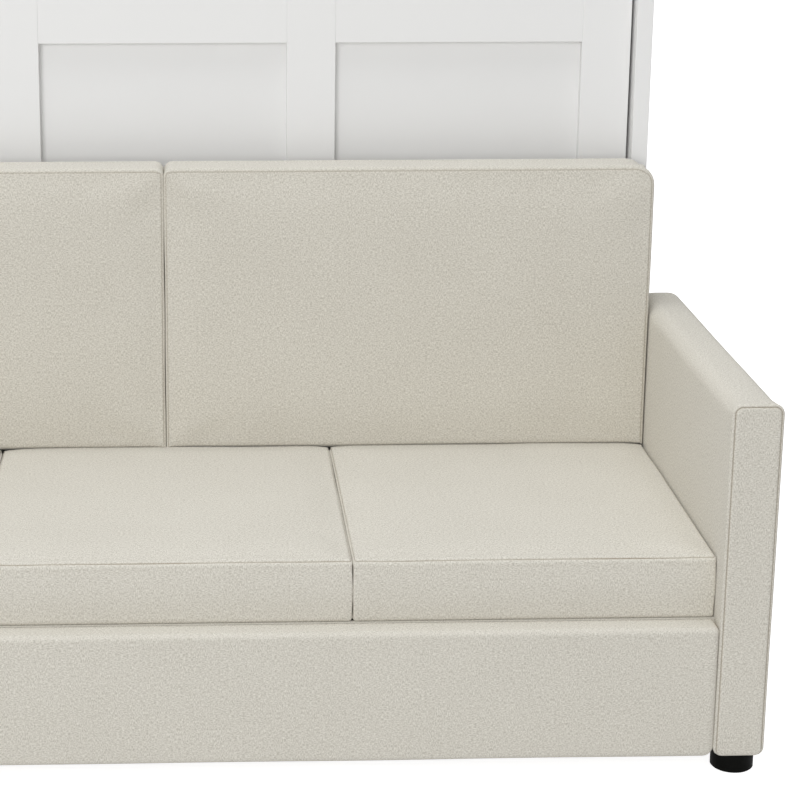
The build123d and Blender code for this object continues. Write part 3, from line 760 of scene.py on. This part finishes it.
def insideNode(nodeName, crown=(0, 0, 0), gap=0.0):
    low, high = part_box(nodeName)
    low = [low[i] + gap for i in range(3)]
    high = [high[i] - gap - crown[i] for i in range(3)]
    return low, high


def dressPiece(thing, body="cabinet_and_sofa", replaced=()):
    # hides the parts that a piece replaces, and puts it on the body that it moves with
    if replaced:
        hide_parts(*replaced)
    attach(thing, body)


# Seat cushions

seatPad = {
    "facing": "up",
    "steps": (0.009,) * 3,
    "corners": (0.005, 0.005, 0.004, 0.004),
    "edges": (0.006, 0.006, 0.008, 0.001),  # left, right, front, rear
    "backEdges": (0.006, 0.006, 0.004, 0.004),
    "crown": 0.004,
    "crownPower": 3.5,
    "crownAcross": 12.0,
    "crownFar": 0.0,
    "belly": (0.0006, 0.0006, 0.0045, 0.0),
    "seams": (((0.0, 0.0, 0.0, openSide), 1), ((0.0, 0.0, 0.0, openSide), -1)),
    "seamDepth": 0.0016,
    "seamWidth": 0.0016,
    "seamSwell": 0.0006,
    "uneven": 0.0006,
    "unevenLength": 0.22,
    "cloth": (0.05, 0.4, 1.0),  # how much of the cloth's move is taken along u, v and w
    "reach": {"side": 0.0004, "rear": 0.012},
}
seamPaths = {"cabinet_and_sofa": [], "backrest": []}
for seed, place in enumerate(("left", "centre", "right"), 11):
    low, high = insideNode("seat_cushion_" + place, crown=(0, 0, seatPad["crown"]))
    low[0] -= seatPad["reach"]["side"]
    high[0] += seatPad["reach"]["side"]
    high[1] += seatPad["reach"]["rear"]
    cushion, seamLine = makePad("seatCushion" + place.title(), low, high, seatPad, seed)
    seamPaths["cabinet_and_sofa"] += [seamLine(0), seamLine(1)]
    dressPiece(cushion, replaced=["seat_cushion_" + place])
print("seat cushions are sewn")

# Back cushions

backPad = {
    "steps": (0.009,) * 3,
    "corners": (0.006, 0.006, 0.036, 0.0155),
    "edges": (0.007, 0.006, 0.016, 0.0085),  # outer, inner, bottom, top
    "backEdges": (0.010, 0.010, 0.006, 0.010),
    "crown": 0.004,
    "crownPower": 3.5,
    "belly": (0.0, 0.0, 0.0, 0.0015),
    "flare": (0.0061, 0.0),
    "seams": (((0.0045, 0.0028, openSide, 0.0065), 1), ((0.0,) * 4, -1)),
    "seamDepth": 0.0011,
    "seamWidth": 0.0015,
    "seamSwell": 0.0005,
    # weaker painted shade along the seams
    "paintedSeamShade": 0.6,
    "uneven": 0.0006,
    "unevenLength": 0.25,
    "cloth": (0.05, 0.3, 1.0),
    "reach": (0.0, 0.0006),
    "sink": 0.0065,
}


def mirrorPad(pad):
    # the same pad, left and right changed over
    def swapped(values):
        return (values[1], values[0], *values[2:])

    seams = [(swapped(places), upward) for places, upward in pad["seams"]]
    corners = (*swapped(pad["corners"][:2]), *swapped(pad["corners"][2:]))
    turned = {key: swapped(pad[key]) for key in ("edges", "flare", "reach")}
    return {**pad, **turned, "corners": corners, "seams": seams}


for seed, (place, pad) in enumerate((("left", backPad), ("right", mirrorPad(backPad))), 21):
    low, high = insideNode("back_cushion_" + place)
    low[0] -= pad["reach"][0]
    high[0] += pad["reach"][1]
    low[1] += pad["crown"]
    low[2] -= pad["sink"]
    cushion, seamLine = makePad("backCushion" + place.title(), low, high, pad, seed)
    seamPaths["backrest"] += [seamLine(0)]
    dressPiece(cushion, body="backrest", replaced=["back_cushion_" + place])
print("back cushions are sewn")

# Cover on the board behind the back cushions

boardCover = {
    "facing": "wall",
    "steps": (0.02, 0.02, 0.005),
    "corners": (0.002,) * 4,
    "edges": (0.0012,) * 4,
    "backEdges": (0.0008,) * 4,
    "seams": (((0.012,) * 4, 1),),
    "seamDepth": 0.0003,
    "seamWidth": 0.001,
    "seamSwell": 0.0002,
    # weaker painted shade along the seams
    "paintedSeamShade": 0.6,
    "uneven": 0.0002,
    "unevenLength": 0.2,
    "thickness": 0.0011,
}
low, high = insideNode("backrest_board", gap=-boardCover["thickness"])
cover, _ = makePad("backrestBoardCover", low, high, boardCover, 61)
dressPiece(cover, body="backrest")

# Arms, with a panel sewn into the front of each

armPad = {
    "steps": (0.009, 0.010, 0.011),
    "corners": (0.014, 0.014, 0.015, 0.015),
    "cornerGrow": 0.75,
    "edges": (0.0055,) * 4,
    "backEdges": (0.006,) * 4,
    "crown": 0.001,
    "seams": (((0.0035, 0.0035, openSide, 0.0035), 1),),  # open at the foot
    "seamDepth": 0.0014,
    "seamWidth": 0.0015,
    "seamSwell": 0.0005,
    "uneven": 0.0004,
    "unevenLength": 0.3,
}
for seed, place in enumerate(("left", "right"), 31):
    low, high = insideNode("arm_cover_" + place)
    low[1] += armPad["crown"]
    arm, seamLine = makePad("armCover" + place.title(), low, high, armPad, seed)
    seamPaths["cabinet_and_sofa"] += [seamLine(0)]
    dressPiece(arm, replaced=["arm_cover_" + place])
print("arms are covered")

# Padded front of the sofa's base

basePad = {
    "steps": (0.011, 0.009, 0.008),
    "corners": (0.017, 0.017, 0.009, 0.009),
    "edges": (0.009,) * 4,
    "backEdges": (0.002,) * 4,
    "crown": 0.0015,
    "uneven": 0.0005,
    "unevenLength": 0.35,
}
low, high = insideNode("base_front_cover")
low[1] += basePad["crown"]
baseFront, _ = makePad("baseFrontCover", low, high, basePad, 41)
dressPiece(baseFront, replaced=["base_front_cover"])

# Cloth on the deck: a strip of the sofa's fabric along the front edge, and black lining behind it

deckCloth = {
    "stripReach": 0.011,
    "stripFront": 0.002,  # how far the strip stands out before the deck
    "stripThickness": 0.0009,
    "lap": 0.06,  # how far the strip comes down over the front board
    "lapFront": 0.0012,
    "lapGap": 0.0002,
    "liningThickness": 0.0004,
    "rows": 60,
}


def stripSquares(count, start=0):
    # the closed skin of a bar in count lengths, with four points round each joint
    last = start + 4 * count
    squares = [
        (first + side, first + turned, first + turned + 4, first + side + 4)
        for first in range(start, last, 4)
        for side, turned in ((0, 1), (1, 2), (2, 3), (3, 0))]
    ends = [(start + 3, start + 2, start + 1, start), (last, last + 1, last + 2, last + 3)]
    return squares + ends


def makeClothStrip(name, low, high, material):
    # a flat strip of cloth with closed edges, in short squares along its length
    count = deckCloth["rows"]
    points = [
        (x, y, z) for x in np.linspace(low[0], high[0], count + 1)
        for y, z in ((low[1], low[2]), (high[1], low[2]), (high[1], high[2]), (low[1], high[2]))]
    mesh = newMesh(name, points, faces=stripSquares(count), material=material)
    layer = mesh.uv_layers.new(name="weave")
    for loop in mesh.loops:
        spot = mesh.vertices[loop.vertex_index].co
        layer.data[loop.index].uv = (spot.x, spot.y + spot.z)
    return joinScene(name, mesh)


low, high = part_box("seat_deck")
stripTop = high[2] + deckCloth["stripThickness"]
stripRear = low[1] + deckCloth["stripReach"]
dressPiece(makeClothStrip(
    "deckFrontStrip", (low[0], low[1] - deckCloth["stripFront"], high[2]),
    (high[0], stripRear, stripTop), sofaFabric))
dressPiece(makeClothStrip(
    "deckFrontLap", (low[0], low[1] - deckCloth["lapFront"], high[2] - deckCloth["lap"]),
    (high[0], low[1] - deckCloth["lapGap"], stripTop), sofaFabric))
deckLining = makeClothStrip(
    "deckLining", (low[0], stripRear, high[2]),
    (high[0], high[1], high[2] + deckCloth["liningThickness"]), liningCloth)
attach(deckLining, "cabinet_and_sofa")
print("base front and deck are covered")

# Mattress

mattressPad = {
    "facing": "wall",
    "steps": (0.0105, 0.0105, 0.012),
    "corners": (0.045,) * 4,
    "edges": (0.016,) * 4,
    "backEdges": (0.016,) * 4,
    "crown": 0.002,
    "crownPower": 6.0,
    "room": 0.006,  # what the crown and the quilting need above the mattress
    "belly": (0.002,) * 4,
    "pull": 0.002,
    "seams": (((0.0,) * 4, 1), ((0.0,) * 4, -1)),
    "seamDepth": 0.002,
    "seamWidth": 0.004,
    "seamSwell": 0.0015,
    "uneven": 0.001,
    "unevenLength": 0.4,
    "quilt": {
        "pitch": 0.17,
        "groove": 0.0035,
        "grooveWidth": 0.010,
        "puff": 0.003,
        "puffSlope": 2.8,
        "lineWidth": 0.004,
        # strength of the painted shade along the quilting grooves
        "grooveShade": 0.6,
        "skin": 0.004,  # depth of the face that is quilted
        "border": 0.03,
    },
}
low, high = insideNode("mattress", crown=(0, mattressPad["room"], 0))
mattress, mattressSeam = makePad(
    "quiltedMattress", low, high, mattressPad, 51, finishOf["mattress_cloth"])
dressPiece(mattress, "bed", ["mattress"])
print("mattress is quilted")

# Node trees for what repeats

stitchRow = {
    "spacing": 0.0046,
    "length": 0.0031,
    "thickness": 0.0009,
    "sides": 6,
    "widestGap": 0.03,  # a line whose ends are nearer than this is closed
}


def makeTree(name, material, values, keys):
    # a tree with inputs named after the keys; gives the inputs and the node that ends it
    tree = bpy.data.node_groups.new(name, "GeometryNodeTree")

    def addSocket(label, kind, way="INPUT"):
        return tree.interface.new_socket(label, in_out=way, socket_type="NodeSocket" + kind)

    addSocket("Geometry", "Geometry")
    for key in keys:
        kind = {int: "Int", float: "Float", tuple: "Vector"}[type(values[key])]
        addSocket(key.title(), kind).default_value = values[key]
    addSocket(material, "Material")
    addSocket("Geometry", "Geometry", "OUTPUT")
    return tree, tree.nodes.new("NodeGroupInput").outputs, tree.nodes.new("NodeGroupOutput")


def paintLast(tree, finish, geometry, material):
    paint = addNode(tree, "GeometryNodeSetMaterial", {"Geometry": geometry, "Material": material})
    setInputs(finish, {0: paint.outputs[0]})


def placeOnPoints(tree, finish, points, instance, material, direction=None):
    # one instance on every point, turned to the direction, made real and painted
    inputs = {"Points": points, "Instance": instance}
    if direction is not None:
        turn = addNode(tree, "FunctionNodeAlignRotationToVector", {"Vector": direction}, axis="Z")
        inputs["Rotation"] = turn.outputs["Rotation"]
    instances = addNode(tree, "GeometryNodeInstanceOnPoints", inputs)
    real = addNode(tree, "GeometryNodeRealizeInstances", {0: instances.outputs[0]})
    paintLast(tree, finish, real.outputs[0], material)


def roundEdges(thing, width, segments):
    bevel = thing.modifiers.new("round", "BEVEL")
    bevel.width, bevel.segments, bevel.limit_method = width, segments, "ANGLE"


def runTree(name, mesh, tree, values, body, replaced=(), roundEdge=0):
    # grows a piece with a node tree and keeps the result as a plain mesh
    thing = joinScene(name, mesh)
    grower = thing.modifiers.new("grow", "NODES")
    grower.node_group = tree
    if roundEdge:
        roundEdges(thing, roundEdge, 2)
    sockets = {
        item.name: item.identifier
        for item in tree.interface.items_tree if item.in_out == "INPUT"}
    for label, value in values.items():
        grower[sockets[label]] = value
    applyModifiers(thing).name = name
    dressPiece(thing, body, replaced)


def linesMesh(name, loops):
    points, edges = [], []
    for loop in loops:
        start, count = len(points), len(loop)
        points += [tuple(point) for point in loop]
        closed = np.linalg.norm(loop[0] - loop[-1]) < stitchRow["widestGap"]
        edges += [
            (start + i, start + (i + 1) % count) for i in range(count if closed else count - 1)]
    return newMesh(name, points, edges)


def makeStitchTree():
    tree, given, finish = makeTree(
        "stitchTree", "Thread", stitchRow, ("spacing", "length", "thickness", "sides"))
    curve = addNode(tree, "GeometryNodeMeshToCurve", {0: given["Geometry"]})
    spots = addNode(tree, "GeometryNodeResampleCurve", {
        "Curve": curve.outputs[0], "Length": given["Spacing"]}, mode="LENGTH")
    stitch = addNode(tree, "GeometryNodeMeshCylinder", {
        "Vertices": given["Sides"], "Radius": mathOf(tree, "DIVIDE", given["Thickness"], 2),
        "Depth": given["Length"]}, fill_type="TRIANGLE_FAN")
    tangent = addNode(tree, "GeometryNodeInputTangent")
    placeOnPoints(
        tree, finish, spots.outputs[0], stitch.outputs["Mesh"], given["Thread"], tangent.outputs[0])
    return tree


stitchTree = makeStitchTree()
for body, name in (("cabinet_and_sofa", "sofaStitches"), ("backrest", "backrestStitches")):
    runTree(
        name, linesMesh(name + "Lines", seamPaths[body]), stitchTree, {"Thread": seamThread},
        body)

pipingRow = {"radius": 0.0042, "sides": 10, "step": 0.012}


def makePipingTree():
    tree, given, finish = makeTree("pipingTree", "Tape", pipingRow, ("radius", "sides"))
    curve = addNode(tree, "GeometryNodeMeshToCurve", {0: given["Geometry"]})
    section = addNode(tree, "GeometryNodeCurvePrimitiveCircle", {
        "Resolution": given["Sides"], "Radius": given["Radius"]})
    tube = addNode(tree, "GeometryNodeCurveToMesh", {
        "Curve": curve.outputs[0], "Profile Curve": section.outputs[0]})
    smooth = addNode(tree, "GeometryNodeSetShadeSmooth", {"Geometry": tube.outputs[0]})
    paintLast(tree, finish, smooth.outputs[0], given["Tape"])
    return tree


runTree(
    "mattressPiping",
    linesMesh("mattressPipingLines", [mattressSeam(i, pipingRow["step"]) for i in (0, 1)]),
    makePipingTree(), {"Tape": mattressTape}, "bed")
print("seams are stitched and the mattress is piped")

# Bowed slats under the mattress

slatSet = {
    "count": 16,
    "width": 0.06,
    "bow": 0.0014,
    "roundEdge": 0.0015,
}
low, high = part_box("bed_slats")
slatSet["slat"] = (high[0] - low[0], high[1] - low[1], slatSet["width"])
slatSet["start"] = (0.0, (low[1] + high[1]) / 2, low[2] + slatSet["width"] / 2)
slatSet["spacing"] = (
    0.0, 0.0, (high[2] - low[2] - slatSet["width"]) / (slatSet["count"] - 1))


def makeSlatTree():
    tree, given, finish = makeTree(
        "slatTree", "Wood", slatSet, ("count", "spacing", "start", "slat", "bow"))
    spot = addNode(tree, "GeometryNodeInputPosition")
    across = addNode(tree, "ShaderNodeSeparateXYZ", {0: spot.outputs[0]}).outputs["X"]
    length = addNode(tree, "ShaderNodeSeparateXYZ", {0: given["Slat"]}).outputs["X"]
    along = mathOf(tree, "DIVIDE", across, length)
    arch = mathOf(tree, "MULTIPLY_ADD", mathOf(tree, "MULTIPLY", along, along), -4.0, 1.0)
    bow = mathOf(tree, "MULTIPLY", arch, given["Bow"])
    rise = addNode(tree, "ShaderNodeCombineXYZ", {"Y": bow})
    slat = addNode(tree, "GeometryNodeMeshCube", {
        "Vertices X": 25, "Vertices Y": 2, "Vertices Z": 3, "Size": given["Slat"]})
    bend = addNode(tree, "GeometryNodeSetPosition", {
        "Geometry": slat.outputs["Mesh"], "Offset": rise.outputs[0]})
    places = addNode(tree, "GeometryNodeMeshLine", {
        "Count": given["Count"], "Start Location": given["Start"],
        "Offset": given["Spacing"]}, mode="OFFSET")
    placeOnPoints(tree, finish, places.outputs[0], bend.outputs[0], given["Wood"])
    return tree


runTree(
    "bowedSlats", newMesh("bowedSlats", []), makeSlatTree(), {"Wood": birchSlat},
    "bed", ["bed_slats"], slatSet["roundEdge"])

# Screws in the pivot plates, with a hexagon socket in each head

screwHead = {
    "radius": 0.006,
    "height": 0.0025,
    "sides": 28,
    "socket": 0.0030,
    "depth": 0.0017,  # of the socket
    "round": 0.0004,
    "plate": 0.004,  # thickness of the plate that the heads are sunk into
}


def makeScrewTree():
    tree, given, finish = makeTree(
        "screwTree", "Steel", screwHead, ("radius", "height", "sides", "socket", "depth"))
    head = addNode(tree, "GeometryNodeMeshCylinder", {
        "Vertices": given["Sides"], "Radius": given["Radius"], "Depth": given["Height"]})
    socket = addNode(tree, "GeometryNodeMeshCylinder", {
        "Vertices": 6, "Radius": given["Socket"],
        "Depth": mathOf(tree, "MULTIPLY", given["Depth"], 2.0)})
    half = mathOf(tree, "DIVIDE", given["Height"], 2.0)
    lift = addNode(tree, "ShaderNodeCombineXYZ", {"Z": half})
    raised = addNode(tree, "GeometryNodeSetPosition", {
        "Geometry": socket.outputs["Mesh"], "Offset": lift.outputs[0]})
    cut = addNode(tree, "GeometryNodeMeshBoolean", {
        "Mesh 1": head.outputs["Mesh"], "Mesh 2": raised.outputs[0]}, operation="DIFFERENCE")
    facing = addNode(
        tree, "GeometryNodeInputNamedAttribute", {"Name": "facing"}, data_type="FLOAT_VECTOR")
    placeOnPoints(
        tree, finish, given["Geometry"], cut.outputs["Mesh"], given["Steel"],
        facing.outputs["Attribute"])
    return tree


low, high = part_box("plate_screws")
headRadius = screwHead["radius"]
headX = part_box("pivot_plate_right")[1][0] - screwHead["plate"] + screwHead["height"] / 2
screwPlaces = [
    (sideSign * headX, y, z) for sideSign in (-1, 1)
    for y in (low[1] + headRadius, high[1] - headRadius)
    for z in (low[2] + headRadius, high[2] - headRadius)]
screwPoints = newMesh("plateScrewHeads", screwPlaces)
screwFacing = screwPoints.attributes.new("facing", "FLOAT_VECTOR", "POINT")
screwFacing.data.foreach_set(
    "vector", [value for x, y, z in screwPlaces for value in (-math.copysign(1, x), 0, 0)])
runTree(
    "plateScrewHeads", screwPoints, makeScrewTree(), {"Steel": finishOf["bright_steel"]},
    "cabinet_and_sofa", ["plate_screws"], screwHead["round"])
print("slats and screws are in")

# Hard pieces made of rounded blocks


def blockMesh(name, blocks, material, roundEdge):
    # several rounded boxes in one mesh, each from its lowest to its highest corner
    points, squares = [], []
    for low, high in blocks:
        start = len(points)
        points += [
            (x, y, z) for x in (low[0], high[0]) for y in (low[1], high[1])
            for z in (low[2], high[2])]
        squares += [tuple(start + i for i in ring) for ring in (
            (0, 1, 3, 2), (4, 6, 7, 5), (0, 4, 5, 1), (2, 3, 7, 6), (0, 2, 6, 4), (1, 5, 7, 3))]
    thing = joinScene(name, newMesh(name, points, faces=squares, material=material))
    roundEdges(thing, roundEdge, 3)
    done = applyModifiers(thing)
    done.polygons.foreach_set("use_smooth", [True] * len(done.polygons))
    return thing


tubeCap = {"height": 0.004, "sink": 0.012, "wall": 0.0022, "round": 0.0009}
capBlocks = []
for place in ("left", "right"):
    low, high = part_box("bed_side_rail_" + place)
    for end, direction in ((low[2], -1), (high[2], 1)):
        for wall, reach in ((0.0, tubeCap["height"]), (tubeCap["wall"], -tubeCap["sink"])):
            lowZ, highZ = sorted((end, end + direction * reach))
            capBlocks.append((
                (low[0] + wall, low[1] + wall, lowZ), (high[0] - wall, high[1] - wall, highZ)))
dressPiece(
    blockMesh("tubeEndCaps", capBlocks, finishOf["black_plastic"], tubeCap["round"]),
    "bed")

# Webbing over the mattress, each band with a sliding buckle

strapBand = {
    "width": 0.040,
    "thickness": 0.002,
    "cornerTurn": 0.013,
    "steps": 14,
    "spacing": 0.02,  # widest step along the straight parts
    "buckleX": 0.36,
    "buckleSize": (0.046, 0.007, 0.052),
    "bar": 0.007,
    "barInset": 0.0004,
    "buckleBack": 0.001,
    "buckleRound": 0.002,
}


def roundedRun(corners, radius, steps):
    # an open line through the corners, each one rounded
    corners = np.array(corners)
    line = [corners[0]]
    for before, corner, after in zip(corners, corners[1:], corners[2:]):
        inward, onward = (
            (end - corner) / np.linalg.norm(end - corner) for end in (before, after))
        centre = corner + (inward + onward) * radius
        for turn in (i / steps * math.pi / 2 for i in range(steps + 1)):
            line.append(
                centre - onward * radius * math.cos(turn) - inward * radius * math.sin(turn))
    line.append(corners[-1])
    full = [line[0]]
    for point in line[1:]:
        gap = np.linalg.norm(point - full[-1])
        count = max(int(gap / strapBand["spacing"]), 1)
        full += [full[-1] + (point - full[-1]) * i / count for i in range(1, count + 1)]
    return np.array(full)


low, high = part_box("mattress_straps")
half, thick = strapBand["width"] / 2, strapBand["thickness"]
leftX, rightX, topY = low[0] + thick, high[0] - thick, high[1] - thick
bandPlaces = (low[2] + half, high[2] - half)
run = roundedRun(
    [(rightX, low[1]), (rightX, topY), (leftX, topY), (leftX, low[1])],
    strapBand["cornerTurn"], strapBand["steps"])
step = np.gradient(run, axis=0)
step /= np.linalg.norm(step, axis=1)[:, None]
points, squares = [], []
for z in bandPlaces:
    squares += stripSquares(len(run) - 1, len(points))
    points += [
        (x + stepY * off, y - stepX * off, z + rise)
        for (x, y), (stepX, stepY) in zip(run, step)
        for off, rise in ((0, -half), (0, half), (thick, half), (thick, -half))]
webbing = newMesh("mattressWebbing", points, faces=squares, material=finishOf["webbing"])
dressPiece(joinScene("mattressWebbing", webbing), "bed", ["mattress_straps"])
buckleBlocks = []
across, deep, tall = strapBand["buckleSize"]
bar, middleX, inset = strapBand["bar"], strapBand["buckleX"], strapBand["barInset"]
reach, front = across / 2 - bar / 2, high[1] - strapBand["buckleBack"]
for z in bandPlaces:
    buckleBlocks += [
        ((x, front, z - tall / 2), (x + bar, front + deep, z + tall / 2))
        for x in (middleX - across / 2, middleX - bar / 2, middleX + across / 2 - bar)]
    buckleBlocks += [
        ((middleX - reach, front + inset, end), (middleX + reach, front + deep - inset, end + bar))
        for end in (z - tall / 2 + inset, z + tall / 2 - bar - inset)]
dressPiece(
    blockMesh("strapBuckles", buckleBlocks, finishOf["black_plastic"], strapBand["buckleRound"]),
    "bed")
print("caps, webbing and buckles are in")
